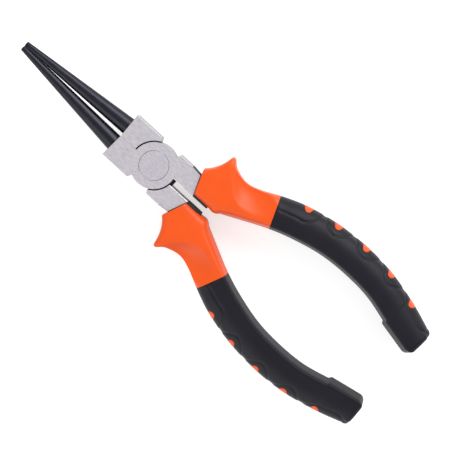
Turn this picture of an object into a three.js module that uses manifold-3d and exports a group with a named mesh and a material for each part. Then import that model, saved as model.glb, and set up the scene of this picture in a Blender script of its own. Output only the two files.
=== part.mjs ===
// Round-nose pliers with a riveted lap joint and two-colour moulded grips.
// Millimetres, +Z up. The pliers lie flat and closed: +X runs from the pivot to the jaw tips, and the
// origin is the centre of the pivot on the underside of the joint.
//
// Both halves are the same set of parts. Everything is modelled once for the rear half, whose handle is on
// the +Y side and whose joint disc is the lower one, and the front half is that set turned half a turn
// about the long axis.

import * as THREE from 'three';
import { mergeVertices } from 'three/addons/utils/BufferGeometryUtils.js';
import Module from 'manifold-3d';

const wasm = await Module();
wasm.setup();

// Driving dimensions.
const GAP = 0.3; // clearance between pieces that touch
const JOINT_THICKNESS = 10;
const MID_Z = JOINT_THICKNESS / 2;

const DISC_RADIUS = 7.7;
const SHOULDER_RADIUS = DISC_RADIUS + GAP;
const DISC_THICKNESS = MID_Z - GAP / 2;
const WEB = { reach: 8.7, width: 1.8, floor: 2 }; // recessed web that closes the slot behind the disc

const RIVET = { headRadius: 4.9, shankRadius: 3.4, headDepth: 1.8 };

// The block's front leans back a little from its outer corner to the seam.
const BLOCK = { front: 14.9, frontInner: 14.5, back: 4.1, side: 8.55, chamfer: [3.3, 7.1] };
const JAW = {
  base: { x: 15.2, offset: 3.54, radius: 2.99 },
  tip: { x: 57.9, offset: 0.82, radius: 1 },
};
const JAW_ROOT_X = 13.5; // the cone starts this far back, inside the block

const SLOT_HALF = 1.15; // half the slot between the two tangs
const TANG_SIDE = 8.4;
const TANG_THICKNESS = 7.8; // inside the grip; full joint thickness in front of it
const TANG_STEP = { front: -20, back: -23 };

const SKIN_HALF = 7; // half thickness of the black grip
const COLLAR_HALF = 6.6; // half thickness of the orange collar at its front
const FLAT_SHARE = 0.97; // the section's top is cut flat at this share of its own height
const COVER_WALL = 1.8;
const SLEEVE_END_X = -99;
const BUTT = { start: -100.5, length: 3.6, loss: 0.3 }; // share of the thickness rounded off at the end

const WINDOW_XS = [-46.5, -57.6, -69.2, -81, -92.6];
const WINDOW = { halfWidth: 1.65, halfHeight: 4.65, depth: 2.6, proud: 1 };

const COVER_EDGE = [[-37.2, 20.4], [-41.6, 10]]; // where the black grip meets the orange collar

const ROUND_SEGMENTS = 64;
const JAW_SEGMENTS = 28;
const WINDOW_SEGMENTS = 16;
const SKIN_POINTS = 20; // points around one section of the grip
const SLEEVE_POINTS = 12;

const vec = ([x, y]) => new THREE.Vector2(x, y);

// ---- Solids: three.js geometry in, boolean solid out, and back again.

function solid(geometry) {
  const bare = geometry.clone();
  for (const name of ['normal', 'uv']) bare.deleteAttribute(name);
  const merged = mergeVertices(bare, 1e-4);
  const index = merged.index.array;
  const kept = [];
  for (let i = 0; i < index.length; i += 3) {
    const [a, b, c] = [index[i], index[i + 1], index[i + 2]];
    if (a !== b && b !== c && c !== a) kept.push(a, b, c); // the poles of a lathe close to points
  }
  return new wasm.Manifold(new wasm.Mesh({
    numProp: 3,
    vertProperties: new Float32Array(merged.attributes.position.array),
    triVerts: new Uint32Array(kept),
  }));
}

function geometryOf(body) {
  const mesh = body.getMesh();
  const geometry = new THREE.BufferGeometry();
  geometry.setAttribute('position', new THREE.BufferAttribute(mesh.vertProperties, 3));
  geometry.setIndex(new THREE.BufferAttribute(mesh.triVerts, 1));
  geometry.computeVertexNormals();
  return geometry;
}

// A plan outline, pulled up from z = low to z = high and grown sideways by `grow`.
function slab(shape, low, high, grow = 0) {
  const geometry = new THREE.ExtrudeGeometry(shape, {
    depth: high - low,
    curveSegments: 6,
    bevelEnabled: grow !== 0,
    bevelThickness: 0,
    bevelSize: 0,
    bevelOffset: grow,
    bevelSegments: 1,
  });
  geometry.translate(0, 0, low);
  return solid(geometry);
}

// An outline in X and Z, pulled sideways far enough to cut the whole width.
function sideSlab(shape) {
  const width = 80;
  const geometry = new THREE.ExtrudeGeometry(shape, { depth: width, bevelEnabled: false });
  geometry.rotateX(Math.PI / 2);
  geometry.translate(0, width / 2, 0);
  return solid(geometry);
}

function disc(radius, low, high) {
  const geometry = new THREE.CylinderGeometry(radius, radius, high - low, ROUND_SEGMENTS);
  geometry.rotateX(Math.PI / 2);
  geometry.translate(0, 0, (low + high) / 2);
  return solid(geometry);
}

function box(xs, ys, zs) {
  const geometry = new THREE.BoxGeometry(xs[1] - xs[0], ys[1] - ys[0], zs[1] - zs[0]);
  geometry.translate((xs[0] + xs[1]) / 2, (ys[0] + ys[1]) / 2, (zs[0] + zs[1]) / 2);
  return solid(geometry);
}

// Closed rings of equal length, skinned one to the next and closed with a fan at each end.
function loft(rings) {
  const around = rings[0].length;
  const positions = [];
  const index = [];
  for (const ring of rings) {
    for (const point of ring) positions.push(point.x, point.y, point.z);
  }
  for (let i = 0; i < rings.length - 1; i += 1) {
    for (let j = 0; j < around; j += 1) {
      const a = i * around + j;
      const b = i * around + ((j + 1) % around);
      index.push(a, a + around, b, b, a + around, b + around);
    }
  }
  const ends = [[0, true], [rings.length - 1, false]];
  for (const [i, first] of ends) {
    const centre = new THREE.Vector3();
    for (const point of rings[i]) centre.addScaledVector(point, 1 / around);
    const hub = positions.length / 3;
    positions.push(centre.x, centre.y, centre.z);
    for (let j = 0; j < around; j += 1) {
      const a = i * around + j;
      const b = i * around + ((j + 1) % around);
      index.push(...(first ? [hub, a, b] : [hub, b, a]));
    }
  }
  const geometry = new THREE.BufferGeometry();
  geometry.setAttribute('position', new THREE.Float32BufferAttribute(positions, 3));
  geometry.setIndex(index);
  return solid(geometry);
}

// ---- The handle's plan outline: collar, guard horn, curved grip and squared butt.

const outline = new THREE.Shape();
outline.moveTo(-12, 1.9);
outline.lineTo(-12, 10.3);
outline.lineTo(-12.7, 10.3);
outline.quadraticCurveTo(-16.2, 13.4, -17, 18.75);
outline.absarc(-17.85, 18.75, 0.85, 0, THREE.MathUtils.degToRad(135), false);
outline.splineThru([[-21, 17.3], [-26, 16.1], [-31, 17.4], [-37.2, 20.5], [-45, 23.8], [-57, 26.6],
  [-70, 27.6], [-82, 26.6], [-93, 24], [-101, 21.4]].map(vec));
outline.quadraticCurveTo(-104, 20.4, -104.1, 18);
outline.lineTo(-103, 11.8);
outline.quadraticCurveTo(-102.5, 9.6, -100.6, 9.8);
outline.lineTo(-89.9, 12);
outline.lineTo(-89.3, 13);
outline.splineThru([[-80, 15.2], [-70, 15.75], [-60, 15.05], [-50, 12.7], [-41.6, 9.8], [-33, 5.8],
  [-26.4, 2.6]].map(vec));
outline.quadraticCurveTo(-25.2, 1.1, -23, 1.8);
outline.lineTo(-12, 1.9);

const outlinePoints = outline.getPoints(12);

// The inner and outer edge of the outline where it crosses the line at x.
function span(x) {
  let inner = Infinity;
  let outer = -Infinity;
  for (let i = 0; i < outlinePoints.length; i += 1) {
    const a = outlinePoints[i];
    const b = outlinePoints[(i + 1) % outlinePoints.length];
    if ((a.x - x) * (b.x - x) > 0 || a.x === b.x) continue;
    const y = a.y + ((b.y - a.y) * (x - a.x)) / (b.x - a.x);
    inner = Math.min(inner, y);
    outer = Math.max(outer, y);
  }
  return { inner, outer };
}

const smooth = (from, to, x) => THREE.MathUtils.smoothstep(x, from, to);

// Half thickness of the skin: a little thinner at the collar, rounded off at the butt.
function skinHalf(x) {
  const half = THREE.MathUtils.lerp(SKIN_HALF, COLLAR_HALF, smooth(-45, -30, x));
  const past = Math.max(0, BUTT.start - x) / BUTT.length;
  return half * (1 - BUTT.loss * past ** 3);
}

// One section across the handle: squarer on the collar and on the inner side, rounder on the outer side of
// the grip. Its top and bottom are cut flat, so that the handle rests on a real face.
function ring(x, inset, half, count, hardCorners = false) {
  const { inner, outer } = span(x);
  const centre = (inner + outer) / 2;
  const reach = (outer - inner) / 2 - inset;
  const squareness = smooth(-46, -34, x);
  const points = [];
  for (let i = 0; i < count; i += 1) {
    const angle = (2 * Math.PI * (i + 0.5)) / count;
    const across = Math.cos(angle);
    const up = Math.sin(angle);
    const gripPower = across > 0 ? 2.5 : 3.4;
    const power = hardCorners ? 5 : THREE.MathUtils.lerp(gripPower, 6, squareness);
    const y = centre + reach * Math.sign(across) * Math.abs(across) ** (2 / power);
    const rise = Math.min(Math.abs(up) ** (2 / power), FLAT_SHARE) / FLAT_SHARE;
    points.push(new THREE.Vector3(x, y, MID_Z + half * Math.sign(up) * rise));
  }
  return points;
}

// Values from `start` to `end` in even steps of about `step`.
function steps(start, end, step) {
  const count = Math.round(Math.abs(end - start) / step);
  return Array.from({ length: count }, (_, i) => start + ((end - start) * i) / count);
}

// Runs of sections along the handle, as start, end and spacing: closest round the guard and at the butt.
const SKIN_RUNS = [
  [-12.2, -19, 0.62],
  [-19, -27, 1],
  [-27, -40, 2.2],
  [-40, -89.2, 3.1],
  [-89.2, -90, 0.8],
  [-90, -100, 3.4],
  [-100, -104, 0.7],
];
const SKIN_XS = [...SKIN_RUNS.flatMap((run) => steps(...run)), -104.05];

const handleSkin = loft(SKIN_XS.map((x) => ring(x, 0, skinHalf(x), SKIN_POINTS)));

function innerCore(inset, half, endX) {
  const xs = [...steps(-34, endX, 3.8), endX];
  return loft(xs.map((x) => ring(x, inset, half, SLEEVE_POINTS, true)));
}

// Everything behind the edge between the collar and the black grip, moved back by `back`.
function behindEdge(back) {
  const [top, bottom] = COVER_EDGE;
  const run = [top[0] - bottom[0], top[1] - bottom[1]];
  const shape = new THREE.Shape([
    [top[0] + run[0] - back, top[1] + run[1]],
    [-130, top[1] + run[1]],
    [-130, bottom[1] - run[1]],
    [bottom[0] - run[0] - back, bottom[1] - run[1]],
  ].map(vec));
  return slab(shape, -20, 30);
}

// Everything in front of the collar's slanted front edge.
function aheadOfCollar() {
  const shape = new THREE.Shape();
  shape.moveTo(-16.7, 0.8);
  shape.quadraticCurveTo(-13.9, 5.4, -12.7, 10.3);
  shape.lineTo(-12.6, 12);
  shape.lineTo(0, 12);
  shape.lineTo(0, 0.8);
  return slab(shape, -20, 30);
}

// ---- Steel forging.

// Plan outline of the tang, from the joint to the end inside the grip.
const tangOutline = new THREE.Shape();
tangOutline.moveTo(-3.2, 6.6);
tangOutline.lineTo(-4.2, 8.3);
tangOutline.lineTo(-4.5, TANG_SIDE);
tangOutline.lineTo(-9.6, TANG_SIDE);
tangOutline.lineTo(-12.8, 8);
tangOutline.splineThru([[-18, 8.9], [-30, 13.6], [-41, 18.5], [-55, 22.9], [-70, 24.4], [-85, 22.9],
  [-97.5, 19.3]].map(vec));
tangOutline.lineTo(-96.9, 14.4);
tangOutline.splineThru([[-85, 17.4], [-70, 18.9], [-55, 17.3], [-41, 13], [-30, 8], [-24.6, 5]].map(vec));
tangOutline.lineTo(-22.6, 4.4);
tangOutline.lineTo(-22, SLOT_HALF);
tangOutline.lineTo(-6, SLOT_HALF);

// The tang with its thickness stepped down inside the grip, grown by `grow` to make its socket.
function tang(grow) {
  const thin = (JOINT_THICKNESS - TANG_THICKNESS) / 2;
  const low = -grow;
  const high = JOINT_THICKNESS + grow;
  const profile = new THREE.Shape([
    [-130, thin + low], [TANG_STEP.back, thin + low], [TANG_STEP.front, low], [10, low],
    [10, high], [TANG_STEP.front, high], [TANG_STEP.back, high - thin], [-130, high - thin],
  ].map(vec));
  return slab(tangOutline, -1, JOINT_THICKNESS + 1, grow).intersect(sideSlab(profile));
}

// The round jaw: a cone that leans in towards the other jaw and meets it on a small flat at the tip.
function jaw() {
  const base = new THREE.Vector3(JAW.base.x, -JAW.base.offset, MID_Z);
  const tip = new THREE.Vector3(JAW.tip.x, -JAW.tip.offset, MID_Z);
  const axis = tip.clone().sub(base).normalize();
  const taper = (JAW.base.radius - JAW.tip.radius) / tip.distanceTo(base);
  const buried = JAW.base.x - JAW_ROOT_X;
  const root = base.clone().addScaledVector(axis, -buried);
  const length = tip.distanceTo(root);
  const rootRadius = JAW.base.radius + taper * buried;
  const geometry = new THREE.CylinderGeometry(JAW.tip.radius, rootRadius, length, JAW_SEGMENTS);
  geometry.translate(0, length / 2, 0);
  geometry.applyQuaternion(new THREE.Quaternion().setFromUnitVectors(new THREE.Vector3(0, 1, 0), axis));
  geometry.translate(root.x, root.y, root.z);
  return solid(geometry).intersect(box([0, 80], [-20, -GAP / 2], [-20, 30]));
}

function jawBlock() {
  const [chamferX, chamferY] = BLOCK.chamfer;
  const shape = new THREE.Shape([
    [3, -GAP / 2], [3, -6.8], [chamferX, -chamferY], [BLOCK.back, -BLOCK.side],
    [BLOCK.front, -BLOCK.side], [BLOCK.frontInner, -GAP / 2],
  ].map(vec));
  return slab(shape, 0, JOINT_THICKNESS);
}

// The rivet, grown by `grow` to make its hole: a shank between two countersunk heads, the same both ways up.
function rivet(grow) {
  const head = RIVET.headRadius + grow;
  const shank = RIVET.shankRadius + grow;
  const profile = [
    [0, 0], [head, 0], [shank, RIVET.headDepth],
    [shank, JOINT_THICKNESS - RIVET.headDepth], [head, JOINT_THICKNESS], [0, JOINT_THICKNESS],
  ];
  const geometry = new THREE.LatheGeometry(profile.map(vec), ROUND_SEGMENTS);
  geometry.translate(0, -MID_Z, 0);
  geometry.rotateX(Math.PI / 2);
  geometry.translate(0, 0, MID_Z);
  return solid(geometry);
}

function lever() {
  const headHole = RIVET.headRadius + GAP;
  const recess = disc(SHOULDER_RADIUS, DISC_THICKNESS, JOINT_THICKNESS + 1);
  const web = box([-WEB.reach, -4], [-WEB.width / 2, WEB.width / 2], [WEB.floor, DISC_THICKNESS]);
  return jawBlock()
    .add(tang(0))
    .subtract(recess)
    .add(disc(DISC_RADIUS, 0, DISC_THICKNESS))
    .add(web)
    .add(jaw())
    .subtract(rivet(GAP))
    .subtract(disc(headHole, -1, 0))
    .subtract(disc(headHole, JOINT_THICKNESS, JOINT_THICKNESS + 1));
}

// ---- Moulded grip.

// Upright oval pegs along the outer side, each square to the edge of the outline.
function windows(grow) {
  const pegs = WINDOW_XS.map((x) => {
    const rise = (span(x + 1).outer - span(x - 1).outer) / 2;
    const geometry = new THREE.CylinderGeometry(1, 1, WINDOW.depth + WINDOW.proud, WINDOW_SEGMENTS);
    geometry.scale(WINDOW.halfWidth + grow, 1, WINDOW.halfHeight + grow);
    geometry.translate(0, (WINDOW.proud - WINDOW.depth) / 2, 0);
    geometry.rotateZ(Math.atan(rise));
    geometry.translate(x, span(x).outer, MID_Z);
    return solid(geometry);
  });
  return pegs.reduce((all, peg) => all.add(peg));
}

function gripCore() {
  const collar = handleSkin.subtract(behindEdge(0)).subtract(aheadOfCollar());
  const sleeve = innerCore(COVER_WALL, SKIN_HALF - COVER_WALL, SLEEVE_END_X);
  const bosses = windows(0).intersect(handleSkin);
  return collar.add(sleeve).add(bosses).subtract(tang(GAP));
}

function gripCover() {
  const grown = COVER_WALL - GAP;
  const hollow = innerCore(grown, SKIN_HALF - grown, SLEEVE_END_X - GAP);
  return handleSkin.intersect(behindEdge(GAP)).subtract(hollow).subtract(windows(GAP));
}

// ---- Materials and assembly.

const steel = new THREE.MeshStandardMaterial({ color: 0xc8c2c8, roughness: 0.38, metalness: 0.9 });
const rivetSteel = new THREE.MeshStandardMaterial({ color: 0xc4bfc4, roughness: 0.34, metalness: 0.9 });
const orange = new THREE.MeshStandardMaterial({ color: 0xff5f22, roughness: 0.42, metalness: 0 });
const charcoal = new THREE.MeshStandardMaterial({ color: 0x2d2c34, roughness: 0.72, metalness: 0 });

function part(name, geometry, material) {
  const mesh = new THREE.Mesh(geometry, material);
  mesh.name = name;
  return mesh;
}

const leverGeometry = geometryOf(lever());
const coreGeometry = geometryOf(gripCore());
const coverGeometry = geometryOf(gripCover());

function half(side) {
  const group = new THREE.Group();
  group.add(part(`${side}_lever`, leverGeometry, steel));
  group.add(part(`${side}_grip_core`, coreGeometry, orange));
  group.add(part(`${side}_grip_cover`, coverGeometry, charcoal));
  return group;
}

const rearHalf = half('rear');
const frontHalf = half('front');
frontHalf.rotation.x = Math.PI;
frontHalf.position.z = JOINT_THICKNESS;

const group = new THREE.Group();
group.add(rearHalf, frontHalf, part('pivot_rivet', geometryOf(rivet(0)), rivetSteel));

export default group;
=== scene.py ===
"""Round-nose pliers: the fine surfaces and materials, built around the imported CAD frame.

Everything is modelled in millimetres in the CAD's own frame and turned into metres as each piece is placed.
The two halves are the same parts, so each piece is made once for the rear half, whose handle is on +Y and
whose jaw is on -Y. The front half gets a copy turned half a turn about the long axis.
"""

import math

import bmesh
import bpy
import numpy as np
from mathutils import Matrix, Vector


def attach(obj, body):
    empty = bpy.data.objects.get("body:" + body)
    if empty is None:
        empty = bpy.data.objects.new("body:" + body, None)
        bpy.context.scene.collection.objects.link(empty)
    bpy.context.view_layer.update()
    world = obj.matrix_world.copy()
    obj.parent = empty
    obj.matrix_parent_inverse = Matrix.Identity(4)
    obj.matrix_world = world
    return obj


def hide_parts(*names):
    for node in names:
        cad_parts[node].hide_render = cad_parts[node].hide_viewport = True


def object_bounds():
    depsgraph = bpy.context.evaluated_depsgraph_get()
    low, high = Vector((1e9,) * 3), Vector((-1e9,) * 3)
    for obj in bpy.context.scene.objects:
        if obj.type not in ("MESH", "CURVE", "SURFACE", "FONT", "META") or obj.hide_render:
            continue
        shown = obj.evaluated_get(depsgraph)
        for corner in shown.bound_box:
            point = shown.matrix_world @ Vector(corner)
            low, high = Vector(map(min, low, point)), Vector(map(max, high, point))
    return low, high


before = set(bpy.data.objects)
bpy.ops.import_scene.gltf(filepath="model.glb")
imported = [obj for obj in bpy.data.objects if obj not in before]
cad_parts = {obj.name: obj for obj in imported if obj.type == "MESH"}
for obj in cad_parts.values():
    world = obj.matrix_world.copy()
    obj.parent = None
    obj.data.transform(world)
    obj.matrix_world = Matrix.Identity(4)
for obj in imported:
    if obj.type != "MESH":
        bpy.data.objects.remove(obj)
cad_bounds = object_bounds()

MM = 0.001

# ---- Driving dimensions, in millimetres, as in the CAD model.

JOINT_THICKNESS = 10.0
MID_Z = JOINT_THICKNESS / 2
LAYER_GAP = 0.15  # half the gap between the two joint discs
DISC_RADIUS = 7.72
SHOULDER_RADIUS = 8.12
DISC_SIDES = 128
EDGE_BREAK = 0.14  # width of the small bevel on the ground edges

RIVET_RADIUS = 4.9
RIVET_SHANK = 3.4
RIVET_HEAD_DEPTH = 1.8
RIVET_LINE = 0.08  # bevel round the rivet and its hole, which reads as the fine circle
RIVET_FIT = 0.05  # how much larger the hole's radius is

BLOCK_FRONT = 14.9  # at the outer corner; the front leans back towards the seam
BLOCK_FRONT_INNER = 14.5
BLOCK_BACK = 4.1
BLOCK_SIDE = 8.55
BLOCK_CHAMFER = (3.3, 7.1)
BLOCK_ROOT = (3, 6.8)  # how far back and how far out the block is buried in the disc
SEAM_HALF = 0.02  # half the seam between the two closed jaw blocks
SEAM_NOTCH = (0.35, 0.5)  # length and half width of the notch where the seam meets the front

JAW_BASE = (15.2, -3.54, 2.99)  # x, y and radius at the shoulder
JAW_TIP = (57.9, -0.82, 1.0)
JAW_ROOT_X = 13.6
JAW_SIDES = 96
JAW_RINGS = 24
JAW_TIP_ROUND = 0.28
JAW_FLAT_HALF = 0.03  # half the gap between the contact flats near the tips

SLOT_HALF = 1.15
TANG_SIDE = 8.4
TANG_THICKNESS = 7.8  # inside the grip
TANG_STEP = (-20.0, -23.0)  # where the tang gets thinner
WEB = (-8.7, 0.9, 2.0)  # reach, half width and lowest z of the recessed web behind the disc
WEB_ROOT_X = -5
SHADE_BAND_LINE = ((-15.75, 1.9), (-12.45, 10.0))  # the ground faces stop on this line, just ahead of the collar; the thin rough-black band left in front of the collar is painted shade for its shadow
CORNER_START = -9.4  # the unground corner widens from here to its end
CORNER_END = -14.5
CORNER_WIDTH = 0.75
CORNER_DEPTH = 1.4

# Which of the lever's faces get which finish.
FLAT_DEPTH = 0.3  # a face this near the top or the bottom is one of the flat ones
SIDE_FROM_Y = 6.6  # the ground sides are further out than this
SLOT_FROM_X = -8  # the slot's walls are further back than this
CORNER_FROM_Y = 5
BLACKENED_FROM_X = JAW_BASE[0] - 1.5  # just behind the block's front

GRIP_HALF = 7.0  # half thicknesses of the grip and the collar
COLLAR_HALF = 6.6
COLLAR_THINNED = (-30, -45)  # where the thickness changes from the collar's to the grip's
COLLAR_ROUND = 0.35
COLLAR_DIRECTION = (0.87, -0.3, 0)  # the way the collar's front end faces
COVER_WALL = 1.8
SLEEVE_END = -99.0
SLEEVE_STEP = 1.5
FIT = 0.1  # clearance of a moulding on what it encloses
BUTT_DIRECTION = (-0.98, 0.12, 0)
BUTT_ROUND = 2.0
LIP_SCALES = (0.985, 0.996)  # sizes of the two small rings that round the grip's front rim
LIP_SHIFT = (-0.04416, 0.01872, 0)

# The handle's section is a superellipse, which gets squarer as its power grows.
SECTION_POINTS = 168  # points round one section of the handle
SECTION_RATIO = 0.85  # typical half width over half thickness
QUARTER_POINTS = 361  # points of a quarter outline before they are spaced evenly
STATION_STEP = 0.27
COLLAR_POWER = 5.5
GRIP_OUTER_POWER = 2.45
GRIP_INNER_POWER = 8.0
SLEEVE_POWER = 5
GRIP_CREST = -0.38  # where the grip is thickest, from -1 at its inner edge to 1 at its outer edge
GRIP_SHAPED = (-31, -41)  # where the section changes from the collar's to the grip's
WALL_DRAFT = 1.15  # how far the inner side wall leans in from mid height to the face
WALL_DRAFTED = (-20, -27)
BUTT_DRAFT = 1.5
BUTT_DRAFTED = (-89, -90.5)

# Where each cross-section meets the inner and the outer edge: square to the handle along the grip, and
# following the collar's slanted front, the edge between the colours and the butt.
STATION_KNOTS = np.array([(-16.4, -13.0), (-25.5, -19.2), (-33, -28.5), (-41.6, -37.2), (-52, -49),
                          (-61, -59.5), (-70, -70), (-80, -80.8), (-88.6, -89.6), (-90.4, -91.4),
                          (-99.5, -100.5), (-101.1, -102.0)])
COLOUR_KNOT = 3  # the knot at the edge between orange and black

# The concave flute behind the guard: where its ridge runs, and its depth at each x.
FLUTE_RIDGE_POINTS = [(-18.3, 18.9), (-19.6, 16.9), (-21.5, 14.4), (-24, 11.9), (-27, 10.1), (-30, 9.4),
                      (-35, 10.4), (-41, 13.5)]
FLUTE_DEPTH_POINTS = [(-18.3, 0.0), (-20, 0.8), (-23, 1.9), (-27, 2.7), (-31, 2.75), (-36, 1.7), (-41, 0.0)]
FLUTE_BLEND = 0.5  # how softly the flute's ridge is rounded
FLUTE_FULL = 0.8  # the depth from which the flute has its whole shape
FLUTE_LEAST = 0.3  # the least distance from ridge to outer edge

# The waved groove, as how far in from the outer edge it runs: it swings round each window and meets the
# outer edge between them.
WAVE = np.array([(-36.0, 4.2), (-48.2, 5.0), (-52.2, 0.0), (-58.0, 3.9), (-64.0, 0.0), (-70.0, 3.7),
                 (-76.0, 0.0), (-82.0, 3.5), (-87.6, 0.0), (-92.8, 2.6), (-98.5, 2.8), (-103.8, 0.0)])
WAVE_LIFT = 0.75  # below 1 the crests are broader than the valleys
GROOVE_DEPTH = 0.3
GROOVE_WIDTH = 0.36
GROOVE_STARTED = (-38, -41.5)
GROOVE_REACH = (9.0, 7.0)  # how far in the pattern ends, and where it starts to fade
PAD_SINK = 0.14  # how far the pads between the groove and the outer edge are pressed in
PAD_EDGE = (0.3, -0.4)
VALLEY_DIP = 0.3  # depth of the dip where the groove meets the outer edge
VALLEY_REACH = (1.6, 0.2)

WINDOW_XS = (-46.5, -57.6, -69.2, -81.0, -92.6)
WINDOW_HALF_WIDTH = 1.6
WINDOW_HALF_HEIGHT = 4.65
WINDOW_POWER = 2.7  # a little squarer than an ellipse
WINDOW_RIM = 0.14
WINDOW_SIDES = 64
PEG_ROOT = 2.6  # how far a window's peg reaches in and out from the outer edge
PEG_PROUD = 1.2
# A boss's face, from its rim to its middle: share of the window's size, and depth below the grip's skin.
BOSS_FACE = ((1.0, 0.35), (0.97, 0.17), (0.88, 0.1), (0.7, 0.08), (0.45, 0.08), (0.2, 0.08))

STEEL_SHARP = 20  # degrees; sharper edges stay crisp
MOULDING_SHARP = 40
MERGE = 1e-4

# ---- Stage, in metres and watts.

FLOOR_Z = cad_bounds[0][2]
FLOOR_HALF = 3.0
FLOOR_GLOW = 0.6  # the floor is a lit table, so the tool's own shadow stays pale
WORLD_STRENGTH = 0.95
LIGHT_TARGET = (-0.03, 0, 0)
# Each lamp's place, size and power
LIGHTS = {"key": ((0.0, -0.70, 0.50), 0.7, 8.8), "fill": ((-0.1, 0.75, 0.42), 0.85, 4.2)}

CAMERA_AT = (-0.0235, -0.0429, 0.6035)
CAMERA_TARGET = (-0.03017, -0.00105, 0.005)
CAMERA_UP = (0.6751, -0.7378, 0)  # the picture's upward direction on the table
CAMERA_LENS = 146.4


# ---- Plan curves.


def spline(points, samples=24):
    """A Catmull-Rom curve through the points, with its ends repeated."""
    points = np.array(points, float)
    padded = np.vstack([points[:1], points, points[-1:]])
    t = np.linspace(0, 1, samples, endpoint=False)[:, None]
    curve = []
    for p0, p1, p2, p3 in zip(padded, padded[1:], padded[2:], padded[3:]):
        v0 = (p2 - p0) / 2
        v1 = (p3 - p1) / 2
        curve.append(
            (2 * p1 - 2 * p2 + v0 + v1) * t**3 + (3 * p2 - 3 * p1 - 2 * v0 - v1) * t**2 + v0 * t + p1
        )
    return np.vstack(curve + [points[-1:]])


def bend(start, control, end, samples=24):
    """A quadratic curve from start to end."""
    a, b, c = (np.array(p, float) for p in (start, control, end))
    t = np.linspace(0, 1, samples)[:, None]
    return (1 - t) ** 2 * a + 2 * t * (1 - t) * b + t**2 * c


def arc(centre, radius, first, last, samples=24):
    """A circular arc between two angles in degrees."""
    angles = np.radians(np.linspace(first, last, samples))
    return np.array(centre) + radius * np.column_stack([np.cos(angles), np.sin(angles)])


def smooth(limits, x):
    """0 up to the first limit, 1 past the second and an easy curve between. The limits may fall."""
    start, end = limits
    t = np.clip((np.asarray(x, float) - start) / (end - start), 0, 1)
    return t * t * (3 - 2 * t)


def blend(first, second, share):
    """The first value at a share of 0 and the second at 1."""
    return first + (second - first) * share


def outer_edge():
    """The handle's outer silhouette, from the collar's front corner to the butt."""
    front = bend((-12.7, 10.3), (-16.2, 13.4), (-17, 18.75))
    horn = arc((-17.85, 18.75), 0.85, 0, 135)
    back = spline([horn[-1], (-21, 17.3), (-26, 16.1), (-31, 17.4), (-37.2, 20.5), (-45, 23.8),
                   (-57, 26.55), (-70, 27.5), (-82, 26.55), (-93, 24), (-101, 21.4)])
    butt = bend((-101, 21.4), (-104, 20.4), (-104.1, 18))
    return np.vstack([front, horn, back, butt])


def inner_edge():
    """The handle's inner silhouette, from the slot to the step and the butt behind it."""
    knuckle = bend((-23, 1.65), (-25.2, 1.05), (-26.4, 2.6))
    curve = spline([(-89.3, 13), (-80, 15.2), (-70, 15.75), (-60, 15.05), (-50, 12.7), (-41.6, 9.8),
                    (-33, 5.8), (-26.4, 2.6)])[::-1]
    butt = bend((-100.6, 9.8), (-102.5, 9.6), (-103, 11.8))
    return np.vstack([[(-12, 1.7)], knuckle, curve, [(-89.9, 12)], butt])


OUTER = outer_edge()
INNER = inner_edge()
FLUTE_RIDGE = spline(FLUTE_RIDGE_POINTS)
FLUTE_DEPTH = spline(FLUTE_DEPTH_POINTS)


def along(curve, x):
    """The second coordinate of a curve, which runs towards -X, where it passes x."""
    order = np.argsort(curve[:, 0], kind="stable")
    return np.interp(x, curve[order, 0], curve[order, 1])


def stations(first, last, step):
    """Pairs of inner and outer x, at even steps from one knot to another."""
    pairs = []
    for low, high in zip(STATION_KNOTS[first:last], STATION_KNOTS[first + 1:last + 1]):
        count = max(2, round(float(np.abs(high - low).max()) / step))
        t = np.linspace(0, 1, count, endpoint=False)[:, None]
        pairs.append(low + (high - low) * t)
    return np.vstack(pairs + [STATION_KNOTS[last:last + 1]])


# ---- The handle's section.


def superellipse(angle, power):
    """A quarter outline: how far out and how high at an angle from the side to the top."""
    return np.cos(angle) ** (2 / power), np.sin(angle) ** (2 / power)


def section(x, plain):
    """One closed section as offsets: w from -1 (inner) to 1 (outer), and z over the half thickness.
    The grip is crowned towards its inner side, and the points are evenly spaced along the outline."""
    if plain:
        crest, outer_power, inner_power = 0.0, SLEEVE_POWER, SLEEVE_POWER
    else:
        on_grip = float(smooth(GRIP_SHAPED, x))
        crest = GRIP_CREST * on_grip
        outer_power = blend(COLLAR_POWER, GRIP_OUTER_POWER, on_grip)
        inner_power = blend(COLLAR_POWER, GRIP_INNER_POWER, on_grip)
    angle = np.linspace(0, np.pi / 2, QUARTER_POINTS)
    out, rise = superellipse(angle, outer_power)
    back, fall = superellipse(angle[::-1], inner_power)
    w = np.concatenate([crest + (1 - crest) * out, (crest - (1 + crest) * back)[1:]])
    z = np.concatenate([rise, fall[1:]])
    w = np.concatenate([w, w[-2:0:-1], w[:1]])
    z = np.concatenate([z, -z[-2:0:-1], z[:1]])
    length = np.concatenate([[0], np.cumsum(np.hypot(np.diff(w) * SECTION_RATIO, np.diff(z)))])
    even = np.linspace(0, length[-1], SECTION_POINTS, endpoint=False)
    return np.interp(even, length, w), np.interp(even, length, z)


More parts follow.
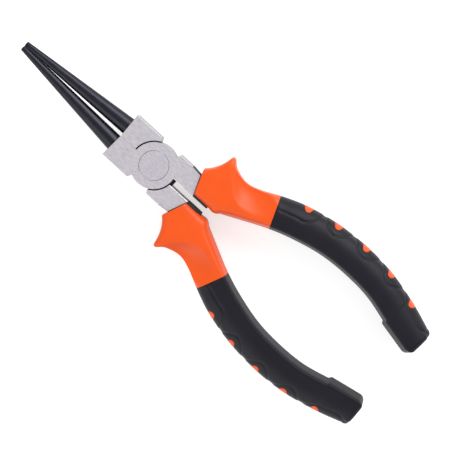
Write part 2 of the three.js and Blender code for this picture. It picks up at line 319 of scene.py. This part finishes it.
def handle_ring(pair, inset=0.0, half=None, plain=False):
    """The points of the section that crosses the handle between the pair's inner and outer x.
    A plain one, for the core inside the grip, has no crown, draft or flute."""
    inner = np.array([pair[0], along(INNER, pair[0])])
    outer = np.array([pair[1], along(OUTER, pair[1])])
    span = outer - inner
    width = np.hypot(*span)
    middle = (inner + outer) / 2
    direction = span / width
    mean_x = middle[0]
    w, z = section(mean_x, plain)
    thickness = half or blend(COLLAR_HALF, GRIP_HALF, smooth(COLLAR_THINNED, mean_x))
    reach = w * (width / 2 - inset)
    if not plain:
        draft = WALL_DRAFT * smooth(WALL_DRAFTED, mean_x)
        draft += (BUTT_DRAFT - WALL_DRAFT) * smooth(BUTT_DRAFTED, mean_x)
        reach = reach + np.where(w < 0, draft * np.abs(z) * np.abs(w) ** 3, 0)
    plan = middle + reach[:, None] * direction
    height = np.abs(z) * thickness
    if not plain:
        height = np.minimum(height, fluted(plan[:, 0], plan[:, 1], thickness, height))
    return np.column_stack([plan, MID_Z + np.sign(z) * height])


def fluted(x, y, thickness, height):
    """The height left under the concave flute behind the guard."""
    ridge = along(FLUTE_RIDGE, x)
    depth = along(FLUTE_DEPTH, x)
    edge = along(OUTER, x)
    across = np.clip((y - ridge) / np.maximum(edge - ridge, FLUTE_LEAST), -1, 1)
    drop = np.where(across > 0, 1 - (1 - across) ** 2, 2 * across)
    limit = thickness - depth * drop + FLUTE_BLEND * (1 - smooth((0, FLUTE_FULL), depth))
    overlap = np.maximum(FLUTE_BLEND - np.abs(height - limit), 0) / FLUTE_BLEND
    return np.minimum(height, limit) - overlap**2 * FLUTE_BLEND / 4


# ---- Meshes.


def new_object(name, data):
    """A new object in the scene for a mesh, a light or a camera."""
    obj = bpy.data.objects.new(name, data)
    bpy.context.scene.collection.objects.link(obj)
    return obj


def mesh_object(name, vertices, faces):
    """A new object from vertices and faces."""
    mesh = bpy.data.meshes.new(name)
    mesh.from_pydata(np.asarray(vertices, float).tolist(), [], faces)
    mesh.validate()
    return new_object(name, mesh)


def ring_faces(first, second, count):
    """Quads between two rings of vertices that start at these indices."""
    return [(first + j, first + (j + 1) % count, second + (j + 1) % count, second + j) for j in range(count)]


def skinned(name, rings):
    """A closed mesh through a list of equal rings, with a fan over each end."""
    count = len(rings[0])
    vertices = np.vstack(rings + [rings[0].mean(axis=0), rings[-1].mean(axis=0)])
    faces = []
    for i in range(len(rings) - 1):
        faces += ring_faces((i + 1) * count, i * count, count)
    hub = len(rings) * count
    last = (len(rings) - 1) * count
    faces += [(hub, j, (j + 1) % count) for j in range(count)]
    faces += [(hub + 1, last + (j + 1) % count, last + j) for j in range(count)]
    return face_out(mesh_object(name, vertices, faces))


def face_out(obj):
    """Turns every face of a closed mesh outwards."""
    shape = bmesh.new()
    shape.from_mesh(obj.data)
    bmesh.ops.recalc_face_normals(shape, faces=shape.faces)
    shape.to_mesh(obj.data)
    shape.free()
    return obj


def prism(name, outline, low, high, bevel=0.0):
    """An outline pulled up from low to high, with its rims bevelled except along the seam."""
    shape = bmesh.new()
    base = shape.faces.new([shape.verts.new((x, y, low)) for x, y in outline])
    top = bmesh.ops.extrude_face_region(shape, geom=[base])["geom"]
    raised = [item for item in top if isinstance(item, bmesh.types.BMVert)]
    bmesh.ops.translate(shape, vec=(0, 0, high - low), verts=raised)
    bmesh.ops.recalc_face_normals(shape, faces=shape.faces)
    if bevel:
        rims = [e for e in shape.edges if abs(e.verts[0].co.z - e.verts[1].co.z) < 1e-6
                and max(abs(v.co.y) for v in e.verts) > SLOT_HALF / 2]
        bmesh.ops.bevel(shape, geom=rims, offset=bevel, segments=2, profile=0.5, affect="EDGES")
    mesh = bpy.data.meshes.new(name)
    shape.to_mesh(mesh)
    shape.free()
    return new_object(name, mesh)


def side_prism(name, profile):
    """An outline in X and Z, pulled right across the handle."""
    obj = prism(name, profile, -60, 60)
    obj.data.transform(Matrix.Rotation(math.pi / 2, 4, "X"))
    return face_out(obj)


def turned(name, profile, sides):
    """A solid of revolution about Z through (radius, z) points, closed flat at both ends."""
    angles = np.linspace(0, 2 * np.pi, sides, endpoint=False)
    return skinned(name, [np.column_stack([r * np.cos(angles), r * np.sin(angles), np.full(sides, z)])
                          for r, z in profile])


def disc(name, radius, low, high, bevel=0.0):
    """A disc about Z, with its rims bevelled if it is given a bevel."""
    rim = [(radius, low + bevel), (radius, high - bevel)]
    if bevel:
        rim = [(radius - bevel, low), *rim, (radius - bevel, high)]
    return turned(name, rim, DISC_SIDES)


def combine(obj, other, operation):
    """Joins or cuts obj with other, and drops other."""
    modifier = obj.modifiers.new("combine", "BOOLEAN")
    modifier.operation = operation
    modifier.solver = "MANIFOLD"
    modifier.object = other
    graph = bpy.context.evaluated_depsgraph_get()
    mesh = bpy.data.meshes.new_from_object(obj.evaluated_get(graph))
    obj.modifiers.clear()
    obj.data = mesh
    bpy.data.objects.remove(other)
    return obj


def finish_surface(obj, sharp_degrees):
    """Smooth shading that breaks at edges sharper than the given angle."""
    shape = bmesh.new()
    shape.from_mesh(obj.data)
    bmesh.ops.remove_doubles(shape, verts=shape.verts, dist=MERGE)
    bmesh.ops.dissolve_degenerate(shape, edges=shape.edges, dist=MERGE)
    bmesh.ops.recalc_face_normals(shape, faces=shape.faces)
    limit = math.radians(sharp_degrees)
    for face in shape.faces:
        face.smooth = True
    for edge in shape.edges:
        edge.smooth = edge.is_manifold and edge.calc_face_angle(0) < limit
    shape.to_mesh(obj.data)
    shape.free()


# ---- The steel lever.


def tang_outline():
    """The tang in plan: the neck behind the disc, and the bar that curves along inside the grip."""
    outer = spline([(-12.8, 8), (-18, 8.9), (-30, 13.6), (-41, 18.5), (-55, 22.9), (-70, 24.4), (-85, 22.9),
                    (-97.5, 19.3)], 8)
    inner = spline([(-96.9, 14.4), (-85, 17.4), (-70, 18.9), (-55, 17.3), (-41, 13), (-30, 8), (-24.6, 5)], 8)
    neck = [(-3.2, 6.6), (-4.2, 8.3), (-4.5, TANG_SIDE), (-9.6, TANG_SIDE)]
    slot = [(-22.6, 4.4), (-22, SLOT_HALF), (-6, SLOT_HALF)]
    return np.vstack([neck, outer, inner, slot])


def grown(outline, amount):
    """The outline moved outwards by an even amount."""
    ahead = np.roll(outline, -1, axis=0) - outline
    behind = outline - np.roll(outline, 1, axis=0)
    normals = []
    for run in (behind, ahead):
        run = run / np.hypot(run[:, 0], run[:, 1])[:, None]
        normals.append(np.column_stack([run[:, 1], -run[:, 0]]))
    x, y = outline[:, 0], outline[:, 1]
    turning = np.sum(x * np.roll(y, -1) - np.roll(x, -1) * y)
    mitre = normals[0] + normals[1]
    mitre *= 2 / np.sum(mitre**2, axis=1)[:, None]
    return outline + mitre * amount * (1 if turning > 0 else -1)


def tang(grow=0.0):
    """The tang: full thickness in front of the grip, stepped down inside it. A grown one is the space that
    the grip leaves for it."""
    bevel = 0 if grow else EDGE_BREAK
    body = prism("tang", grown(tang_outline(), grow), -grow, JOINT_THICKNESS + grow, bevel)
    thinned = (JOINT_THICKNESS - TANG_THICKNESS) / 2
    front, back = TANG_STEP
    past_butt = -120
    for side in (-1, 1):
        face = MID_Z + side * (MID_Z + grow)
        step = MID_Z + side * (MID_Z + grow - thinned)
        clear = face + side * 3
        profile = [(past_butt, step), (back, step), (front, face), (front, clear), (past_butt, clear)]
        combine(body, side_prism("step", profile), "DIFFERENCE")
    return body


def jaw():
    """The round jaw, with its rounded tip and the small flat that meets the other jaw."""
    base_x, base_y, base_radius = JAW_BASE
    tip_x, tip_y, tip_radius = JAW_TIP
    base = Vector((base_x, base_y, MID_Z))
    tip = Vector((tip_x, tip_y, MID_Z))
    length = (tip - base).length
    taper = (base_radius - tip_radius) / length
    buried = base_x - JAW_ROOT_X
    profile = [(base_radius + taper * buried, -buried)]
    for reach in np.linspace(0, length - JAW_TIP_ROUND, JAW_RINGS):
        profile.append((base_radius - taper * reach, reach))
    for angle in np.radians([15, 30, 45, 60, 75, 90]):
        profile.append((tip_radius - JAW_TIP_ROUND * (1 - math.cos(angle)),
                        length - JAW_TIP_ROUND * (1 - math.sin(angle))))
    obj = turned("jaw", profile, JAW_SIDES)
    turn = (tip - base).normalized().to_track_quat("Z", "Y").to_matrix().to_4x4()
    obj.data.transform(Matrix.Translation(base) @ turn)
    other_side = prism("flat", [(0, -JAW_FLAT_HALF), (80, -JAW_FLAT_HALF), (80, 20), (0, 20)], -20, 30)
    return combine(obj, other_side, "DIFFERENCE")


def both_ends(half):
    """A profile from one face of the joint to the other, from its half next to the lower face."""
    return half + [(r, JOINT_THICKNESS - z) for r, z in reversed(half)]


def rivet_profile():
    """The rivet: a shank that flares into a flush head at each face."""
    return both_ends([(RIVET_RADIUS - RIVET_LINE, 0), (RIVET_RADIUS, RIVET_LINE),
                      (RIVET_SHANK, RIVET_HEAD_DEPTH)])


def rivet_hole_profile():
    """The hole for the rivet, which opens out past the faces to bevel its own rims."""
    radius = RIVET_RADIUS + RIVET_FIT
    past = 1.0
    return both_ends([(radius + RIVET_LINE + past, -past), (radius, RIVET_LINE),
                      (RIVET_SHANK + RIVET_FIT, RIVET_HEAD_DEPTH)])


def black_corner(side):
    """Cuts the unground corner that widens from the joint towards the collar."""
    face = MID_Z + side * MID_Z
    corners = [Vector((CORNER_START, TANG_SIDE, face)),
               Vector((CORNER_END, TANG_SIDE - CORNER_WIDTH, face)),
               Vector((CORNER_END, TANG_SIDE, face - side * CORNER_DEPTH))]
    clear = 1.5
    outside = [corner + Vector((0, clear, side * clear)) for corner in corners]
    vertices = [tuple(v) for v in corners + outside]
    faces = [(0, 1, 2), (3, 5, 4), (0, 3, 4, 1), (1, 4, 5, 2), (2, 5, 3, 0)]
    return face_out(mesh_object("corner", vertices, faces))


def block_outline():
    """The jaw block in plan, from its root in the disc round to the seam."""
    root_x, root_y = BLOCK_ROOT
    chamfer_x, chamfer_y = BLOCK_CHAMFER
    notch, notch_half = SEAM_NOTCH
    return [(root_x, -SEAM_HALF), (root_x, -root_y), (chamfer_x, -chamfer_y), (BLOCK_BACK, -BLOCK_SIDE),
            (BLOCK_FRONT, -BLOCK_SIDE), (BLOCK_FRONT_INNER, -notch_half),
            (BLOCK_FRONT_INNER - notch, -SEAM_HALF)]


def past_shade_line(x, y):
    """How far a plan point lies behind the line where the ground faces stop and the painted shade in front of
    the collar starts.
    """
    (x0, y0), (x1, y1) = SHADE_BAND_LINE
    return ((y - y0) * (x1 - x0) - (x - x0) * (y1 - y0)) / math.hypot(x1 - x0, y1 - y0)


def split_faces(obj):
    """Splits the lever's faces along the line where the ground faces stop and the painted shade in front of
    the collar starts.
    """
    (x0, y0), (x1, y1) = SHADE_BAND_LINE
    shape = bmesh.new()
    shape.from_mesh(obj.data)
    bmesh.ops.bisect_plane(shape, geom=[*shape.verts, *shape.edges, *shape.faces], dist=1e-5,
                           plane_co=(x0, y0, 0), plane_no=(y0 - y1, x1 - x0, 0))
    shape.to_mesh(obj.data)
    shape.free()


def lever():
    """One forged lever: the jaw block, the joint disc, the tang and the jaw, with the rivet's hole."""
    layer_top = MID_Z - LAYER_GAP
    reach, half_width, floor = WEB
    web_outline = [(reach, -half_width), (WEB_ROOT_X, -half_width), (WEB_ROOT_X, half_width),
                   (reach, half_width)]
    body = prism("lever", block_outline(), 0, JOINT_THICKNESS, EDGE_BREAK)
    combine(body, tang(), "UNION")
    combine(body, disc("recess", SHOULDER_RADIUS, layer_top, JOINT_THICKNESS + 2), "DIFFERENCE")
    combine(body, disc("disc", DISC_RADIUS, 0, layer_top, EDGE_BREAK), "UNION")
    combine(body, prism("web", web_outline, floor, layer_top), "UNION")
    for side in (-1, 1):
        combine(body, black_corner(side), "DIFFERENCE")
    combine(body, jaw(), "UNION")
    combine(body, turned("hole", rivet_hole_profile(), DISC_SIDES), "DIFFERENCE")
    split_faces(body)
    finish_surface(body, STEEL_SHARP)
    return body


# ---- The moulded grip.


def carved(rings):
    """Presses the waved groove and the shallow pads round the windows into the grip's rings."""
    grid = np.array(rings)
    lengthwise = np.gradient(grid, axis=0)
    around = np.roll(grid, -1, axis=1) - np.roll(grid, 1, axis=1)
    normal = np.cross(around, lengthwise)
    normal /= np.maximum(np.linalg.norm(normal, axis=2, keepdims=True), 1e-9)
    centre = grid.mean(axis=1, keepdims=True)
    outward = np.sign(np.sum(normal * (grid - centre), axis=2, keepdims=True))
    depth = groove_depth(grid[..., 0], grid[..., 1])
    return list(grid - normal * outward * depth[..., None])


def wave(x):
    """The groove's distance from the outer edge at x, and how near x is to a valley, from 0 to 1."""
    knots, values = WAVE[::-1, 0], WAVE[::-1, 1]
    index = np.clip(np.searchsorted(knots, x) - 1, 0, len(knots) - 2)
    t = np.clip((x - knots[index]) / (knots[index + 1] - knots[index]), 0, 1)
    eased = t * t * (3 - 2 * t)
    low = np.minimum(values[index], values[index + 1])
    high = np.maximum(values[index], values[index + 1])
    climb = np.where(values[index + 1] > values[index], eased, 1 - eased)
    meets_edge = low < 0.01
    valley = np.where(meets_edge, 1 - climb, 0)
    lift = np.where(meets_edge, WAVE_LIFT, 1.0)
    return low + (high - low) * climb**lift, valley


def groove_depth(x, y):
    """How deep the surface is pressed in at a plan point."""
    grid = np.arange(-106, -36, 0.5)
    lean = np.interp(x, grid, np.gradient(along(OUTER, grid), 0.5))
    inward = np.maximum((along(OUTER, x) - y) / np.sqrt(1 + lean**2), 0)
    line, valley = wave(x)
    slope = (wave(x + 0.2)[0] - wave(x - 0.2)[0]) / 0.4
    distance = (inward - line) / np.sqrt(1 + slope**2)
    groove = GROOVE_DEPTH * np.exp(-((distance / GROOVE_WIDTH) ** 2))
    pad = PAD_SINK * smooth(PAD_EDGE, distance)
    dip = VALLEY_DIP * smooth(VALLEY_REACH, inward) * valley**4
    return np.maximum(groove + pad, dip) * smooth(GROOVE_REACH, inward) * smooth(GROOVE_STARTED, x)


def rounded_end(rings, radius, forward, steps):
    """The rings, with more that round the last one over into an end face."""
    last = rings[-1]
    centre = last.mean(axis=0)
    spread = last - centre
    distance = np.linalg.norm(spread, axis=1, keepdims=True)
    extra = []
    for k in range(1, steps + 1):
        angle = math.pi / 2 * k / steps
        inset = radius * (1 - math.cos(angle))
        extra.append(centre + spread * (1 - inset / distance) + np.array(forward) * radius * math.sin(angle))
    return rings + extra


def sleeve_rings(inset, half, last_x):
    """Rings of the inner core from the colour edge to its end."""
    pairs = [p for p in stations(COLOUR_KNOT, len(STATION_KNOTS) - 2, SLEEVE_STEP) if p.mean() > last_x]
    return [handle_ring(p, inset, half, plain=True) for p in pairs]


def grip_core():
    """The orange collar, the sleeve inside the grip and the bosses that fill the windows."""
    collar = [handle_ring(p) for p in stations(0, COLOUR_KNOT, STATION_STEP)]
    front = rounded_end(collar[::-1], COLLAR_ROUND, COLLAR_DIRECTION, steps=3)[::-1]
    sleeve = sleeve_rings(COVER_WALL, GRIP_HALF - COVER_WALL, SLEEVE_END)
    body = skinned("grip_core", front + sleeve)
    for window in WINDOW_XS:
        combine(body, boss(window), "UNION")
    combine(body, tang(FIT), "DIFFERENCE")
    finish_surface(body, MOULDING_SHARP)
    return body


def grip_cover():
    """The black grip: a waved outer skin round a hollow, open towards the collar."""
    outer = [handle_ring(p) for p in stations(COLOUR_KNOT, len(STATION_KNOTS) - 1, STATION_STEP)]
    outer = rounded_end(carved(outer), BUTT_ROUND, BUTT_DIRECTION, steps=8)
    rim = outer[0]
    middle = rim.mean(axis=0)
    first, second = LIP_SCALES
    lips = [middle + (rim - middle) * first, middle + (rim - middle) * second + np.array(LIP_SHIFT)]
    hollow = sleeve_rings(COVER_WALL - FIT, GRIP_HALF - COVER_WALL + FIT, SLEEVE_END - FIT)
    body = skinned("grip_cover", hollow[::-1] + lips + outer[1:])
    for window in WINDOW_XS:
        combine(body, window_peg(window), "DIFFERENCE")
    finish_surface(body, MOULDING_SHARP)
    return body


def edge_frame(x):
    """The outer edge's point at x, with its tangent and its outward normal in plan."""
    ahead = np.array([x + 0.5, along(OUTER, x + 0.5)])
    behind = np.array([x - 0.5, along(OUTER, x - 0.5)])
    tangent = (ahead - behind) / np.hypot(*(ahead - behind))
    return np.array([x, along(OUTER, x)]), tangent, np.array([-tangent[1], tangent[0]])


def oval_outline():
    """A window's outline at unit size."""
    angles = np.linspace(0, 2 * np.pi, WINDOW_SIDES, endpoint=False)
    across, up = superellipse(np.abs(np.arcsin(np.sin(angles))), WINDOW_POWER)
    return np.sign(np.cos(angles)) * across, np.sign(np.sin(angles)) * up


def peg_ring(x, depth, grow=0.0):
    """An upright oval ring at a window, square to the outer edge and this far out from it."""
    point, tangent, normal = edge_frame(x)
    across, up = oval_outline()
    plan = point + normal * depth + np.outer((WINDOW_HALF_WIDTH + grow) * across, tangent)
    return np.column_stack([plan, MID_Z + (WINDOW_HALF_HEIGHT + grow) * up])


def window_peg(x):
    """The peg that cuts a window, from the hollow out past the skin."""
    return skinned("peg", [peg_ring(x, depth, WINDOW_RIM) for depth in (-PEG_ROOT, PEG_PROUD)])


def face_ring(x, share, sink):
    """A ring of a boss's face, which follows the grip's side a little below its skin."""
    point, tangent, normal = edge_frame(x)
    across, up = oval_outline()
    offset = WINDOW_HALF_WIDTH * share * across
    rise = WINDOW_HALF_HEIGHT * share * up
    plan = point + np.outer(offset, tangent) + np.outer(side_reach(x, rise) - sink, normal)
    return np.column_stack([plan, MID_Z + rise])


def boss(x):
    """A boss that fills a window, with its face rounded like the grip's side."""
    face = [face_ring(x, share, sink) for share, sink in BOSS_FACE]
    return skinned("boss", [peg_ring(x, -PEG_ROOT)] + face)


def side_reach(x, rise):
    """How far the grip's outer side stands from its outer edge at a height off the middle."""
    ring = handle_ring((x, x))
    outward = ring[ring[:, 1] > ring[:, 1].mean()]
    order = np.argsort(outward[:, 2])
    y = np.interp(MID_Z + rise, outward[order, 2], outward[order, 1])
    return y - along(OUTER, x)


# ---- Materials.


class Nodes:
    """Short forms for building a procedural material."""

    def __init__(self, name):
        self.material = bpy.data.materials.new(name)
        self.material.use_nodes = True
        self.tree = self.material.node_tree
        self.tree.nodes.clear()
        self.shader = self.tree.nodes.new("ShaderNodeBsdfPrincipled")
        output = self.tree.nodes.new("ShaderNodeOutputMaterial")
        self.tree.links.new(self.shader.outputs["BSDF"], output.inputs["Surface"])
        self.coordinates = self.tree.nodes.new("ShaderNodeTexCoord").outputs["Object"]

    def link(self, output, target):
        """Feeds an output into an input."""
        self.tree.links.new(output, target)

    def noise(self, scale, detail=3.0, stretch=None, turn=0.0, roughness=0.5):
        """Noise over the object, optionally stretched and turned about Z."""
        node = self.tree.nodes.new("ShaderNodeTexNoise")
        node.inputs["Scale"].default_value = scale
        node.inputs["Detail"].default_value = detail
        node.inputs["Roughness"].default_value = roughness
        source = self.coordinates
        if stretch:
            mapping = self.tree.nodes.new("ShaderNodeMapping")
            mapping.vector_type = "TEXTURE"
            mapping.inputs["Rotation"].default_value = (0, 0, math.radians(turn))
            mapping.inputs["Scale"].default_value = stretch
            self.link(source, mapping.inputs["Vector"])
            source = mapping.outputs["Vector"]
        self.link(source, node.inputs["Vector"])
        return node.outputs["Fac"]

    def ramp(self, value, stops):
        """A colour ramp between two (position, colour) stops."""
        node = self.tree.nodes.new("ShaderNodeValToRGB")
        for element, (position, colour) in zip(node.color_ramp.elements, stops):
            element.position = position
            element.color = (*colour, 1)
        self.link(value, node.inputs["Fac"])
        return node.outputs["Color"]

    def multiply(self, first, second):
        """Two colours multiplied."""
        node = self.tree.nodes.new("ShaderNodeMix")
        node.data_type = "RGBA"
        node.blend_type = "MULTIPLY"
        node.inputs["Factor"].default_value = 1.0
        self.link(first, node.inputs["A"])
        self.link(second, node.inputs["B"])
        return node.outputs["Result"]

    def spread(self, value, low, high):
        """Maps the main part of a noise's range, from 0.3 to 0.7, to another range."""
        node = self.tree.nodes.new("ShaderNodeMapRange")
        for name, number in zip(("From Min", "From Max", "To Min", "To Max"), (0.3, 0.7, low, high)):
            node.inputs[name].default_value = number
        self.link(value, node.inputs["Value"])
        return node.outputs["Result"]

    def bump(self, height, strength, distance, below=None):
        """A bumped normal, on top of another if one is given."""
        node = self.tree.nodes.new("ShaderNodeBump")
        node.inputs["Strength"].default_value = strength
        node.inputs["Distance"].default_value = distance
        self.link(height, node.inputs["Height"])
        if below:
            self.link(below, node.inputs["Normal"])
        return node.outputs["Normal"]

    def finish(self, colour, normal=None, roughness=None, **values):
        """Links the shader's maps, sets its plain values and returns the material."""
        for name, output in (("Base Color", colour), ("Normal", normal), ("Roughness", roughness)):
            if output:
                self.link(output, self.shader.inputs[name])
        for name, value in values.items():
            self.shader.inputs[name.replace("_", " ")].default_value = value
        return self.material


def ground_steel(name, tint, turn):
    """Ground steel: a fine lengthwise grain over broader streaks and faint stains."""
    n = Nodes(name)
    grain = n.noise(3400, 3, (6, 1, 1), turn, 0.65)
    streaks = n.noise(1900, 3, (7, 1, 1), -turn)
    stains = n.noise(260, 3)
    fine = n.ramp(grain, [(0.3, (0.70, 0.70, 0.70)), (0.7, (1, 1, 1))])
    broad = n.ramp(streaks, [(0.3, [c * 0.96 for c in tint]), (0.7, [c * 1.03 for c in tint])])
    tone = n.ramp(stains, [(0.35, (0.965, 0.965, 1.0)), (0.65, (1.0, 0.99, 0.985))])
    colour = n.multiply(n.multiply(broad, fine), tone)
    return n.finish(colour, n.bump(grain, 0.28, 0.00003), n.spread(streaks, 0.40, 0.46), Metallic=1.0)


def black_oxide():
    """Blackened steel: satin, faintly mottled, with the turning marks of the jaw."""
    n = Nodes("black_oxide")
    mottle = n.noise(420, 4)
    marks = n.noise(2600, 2, (1, 7, 7))
    colour = n.ramp(mottle, [(0.3, (0.019, 0.0188, 0.0250)), (0.7, (0.0265, 0.0262, 0.033))])
    return n.finish(colour, n.bump(marks, 0.22, 0.00003), n.spread(mottle, 0.3, 0.42), Metallic=1.0)


def forge_scale_and_shade():
    """The rough black skin of the forging where it isn't ground, which also serves as painted shade in a thin
    band just ahead of the collar.
    """
    n = Nodes("forge_scale_and_shade")
    mottle = n.noise(700, 5, roughness=0.65)
    colour = n.ramp(mottle, [(0.3, (0.008, 0.008, 0.010)), (0.7, (0.020, 0.019, 0.021))])
    return n.finish(colour, n.bump(mottle, 0.4, 0.00008), n.spread(mottle, 0.6, 0.8), Specular_IOR_Level=0.3)


def orange_moulding():
    """Satin orange plastic with a faint orange-peel surface."""
    n = Nodes("orange_moulding")
    cloud = n.noise(90, 3)
    peel = n.noise(1500, 2)
    grain = n.noise(7000, 2)
    colour = n.ramp(cloud, [(0.3, (0.53, 0.053, 0.0005)), (0.7, (0.57, 0.059, 0.0008))])
    normal = n.bump(grain, 0.12, 0.00002, n.bump(peel, 0.1, 0.00006))
    return n.finish(colour, normal, n.spread(grain, 0.36, 0.46), Specular_IOR_Level=0.24)


def black_rubber():
    """Soft matte grip rubber with a fine sparked texture."""
    n = Nodes("black_rubber")
    cloud = n.noise(120, 4)
    grain = n.noise(5200, 3, roughness=0.7)
    colour = n.ramp(cloud, [(0.3, (0.0040, 0.0036, 0.0070)), (0.7, (0.0056, 0.0052, 0.0092))])
    return n.finish(colour, n.bump(grain, 0.35, 0.00005), n.spread(grain, 0.4, 0.54), Specular_IOR_Level=0.15)


def pale_floor():
    """The pale table, which glows a little."""
    n = Nodes("pale_floor")
    colour = n.ramp(n.noise(6, 2), [(0.3, (0.50, 0.50, 0.50)), (0.7, (0.52, 0.52, 0.52))])
    return n.finish(colour, Roughness=0.9, Emission_Color=(1, 1, 1, 1), Emission_Strength=FLOOR_GLOW)


STEEL = ground_steel("ground_steel", (0.585, 0.56, 0.595), 3)
# A darker copy of the ground steel: painted shade for the sides and the slot's walls.
SHADED_SIDE_STEEL = ground_steel("shaded_side_steel", (0.34, 0.33, 0.345), 0)
RIVET_STEEL = ground_steel("rivet_steel", (0.575, 0.545, 0.585), 8)
BLACK_OXIDE = black_oxide()
FORGE_SCALE_AND_SHADE = forge_scale_and_shade()
ORANGE = orange_moulding()
RUBBER = black_rubber()
LEVER_FINISHES = (STEEL, BLACK_OXIDE, FORGE_SCALE_AND_SHADE, SHADED_SIDE_STEEL)


def lever_finish(face):
    """The finish of one of the lever's faces: steel where the forging is ground, with a darker copy of it as
    painted shade on the sides and the slot's walls, blackened on the jaw and the block's front, and rough
    black on what is left, whose thin band just ahead of the collar is painted shade for the collar's shadow."""
    x, y, z = face.center
    across, upright = abs(face.normal.y), abs(face.normal.z)
    on_face = upright > 0.5 and not FLAT_DEPTH <= z <= JOINT_THICKNESS - FLAT_DEPTH
    on_side = across > 0.3 and abs(y) > SIDE_FROM_Y and x > CORNER_START + 0.1
    in_slot = across > 0.7 and abs(y) < SLOT_HALF + 0.1 and x < SLOT_FROM_X
    on_corner = upright < 0.97 and y > CORNER_FROM_Y and x < CORNER_START - 0.2
    if x > BLACKENED_FROM_X and not on_face and not on_side:
        return BLACK_OXIDE
    # Behind the line the forging is unground under the collar; the thin band left in front of the collar is
    # painted shade.
    if on_corner or past_shade_line(x, y) > 0:
        return FORGE_SCALE_AND_SHADE
    # The ground sides and the slot's walls get the darker steel as painted shade.
    if on_side or in_slot:
        return SHADED_SIDE_STEEL
    return STEEL if on_face else FORGE_SCALE_AND_SHADE


def paint_lever(obj):
    """Gives each of the lever's faces its finish."""
    obj.data.materials.clear()
    for material in LEVER_FINISHES:
        obj.data.materials.append(material)
    for face in obj.data.polygons:
        face.material_index = LEVER_FINISHES.index(lever_finish(face))


def paint(obj, material):
    """Gives the whole object one material."""
    obj.data.materials.clear()
    obj.data.materials.append(material)
    for face in obj.data.polygons:
        face.material_index = 0


# ---- Putting the pieces on the frame.


def place(mesh, name, node, body, flipped=False):
    """Puts a finished mesh on the frame, turned over for the front half, in metres."""
    obj = new_object(name, mesh.copy())
    if flipped:
        middle = Matrix.Translation((0, 0, MID_Z))
        obj.data.transform(middle @ Matrix.Rotation(math.pi, 4, "X") @ middle.inverted())
    obj.data.transform(Matrix.Scale(MM, 4))
    obj.data.update()
    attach(obj, body)
    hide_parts(node)


def build_halves():
    """The two halves, each with its lever, its collar with the core, and its grip."""
    steel = lever()
    paint_lever(steel)
    core = grip_core()
    paint(core, ORANGE)
    cover = grip_cover()
    paint(cover, RUBBER)
    for side in ("rear", "front"):
        flipped = side == "front"
        body = f"{side}_half"
        place(steel.data, f"{side}_lever_forging", f"{side}_lever", body, flipped)
        place(core.data, f"{side}_collar_and_core", f"{side}_grip_core", body, flipped)
        place(cover.data, f"{side}_rubber_grip", f"{side}_grip_cover", body, flipped)
    for obj in (steel, core, cover):
        bpy.data.objects.remove(obj)


def build_rivet():
    """The rivet, which stays with the rear half."""
    rivet = turned("rivet", rivet_profile(), DISC_SIDES)
    finish_surface(rivet, STEEL_SHARP)
    paint(rivet, RIVET_STEEL)
    place(rivet.data, "pivot_rivet_pin", "pivot_rivet", "rear_half")
    bpy.data.objects.remove(rivet)


# ---- Stage, light and camera.


def build_floor():
    """A wide square table under the tool."""
    corners = [(x * FLOOR_HALF, y * FLOOR_HALF, FLOOR_Z) for x, y in ((-1, -1), (1, -1), (1, 1), (-1, 1))]
    floor = mesh_object("floor", corners, [(0, 1, 2, 3)])
    floor.data.materials.append(pale_floor())


def area_light(name, place_at, size, power):
    """A round lamp aimed at the tool."""
    data = bpy.data.lights.new(name, "AREA")
    data.shape = "DISK"
    data.size = size
    data.energy = power
    lamp = new_object(name, data)
    lamp.location = place_at
    lamp.rotation_euler = (Vector(LIGHT_TARGET) - Vector(place_at)).to_track_quat("-Z", "Y").to_euler()


def build_light():
    """A white room and two soft lamps."""
    world = bpy.data.worlds.new("studio")
    bpy.context.scene.world = world
    world.use_nodes = True
    background = world.node_tree.nodes["Background"]
    background.inputs["Color"].default_value = (1, 1, 1, 1)
    background.inputs["Strength"].default_value = WORLD_STRENGTH
    for name, (place_at, size, power) in LIGHTS.items():
        area_light(name, place_at, size, power)


def build_camera():
    """The camera, nearly straight above the tool."""
    data = bpy.data.cameras.new("camera")
    data.lens = CAMERA_LENS
    data.sensor_width = 36
    data.clip_start = 0.01
    camera = new_object("camera", data)
    back = (Vector(CAMERA_AT) - Vector(CAMERA_TARGET)).normalized()
    right = Vector(CAMERA_UP).cross(back).normalized()
    up = back.cross(right)
    matrix = Matrix((right, up, back)).transposed().to_4x4()
    matrix.translation = CAMERA_AT
    camera.matrix_world = matrix
    bpy.context.scene.camera = camera


build_camera()
build_halves()
build_rivet()
build_floor()
build_light()
bpy.context.scene.view_settings.view_transform = "Standard"
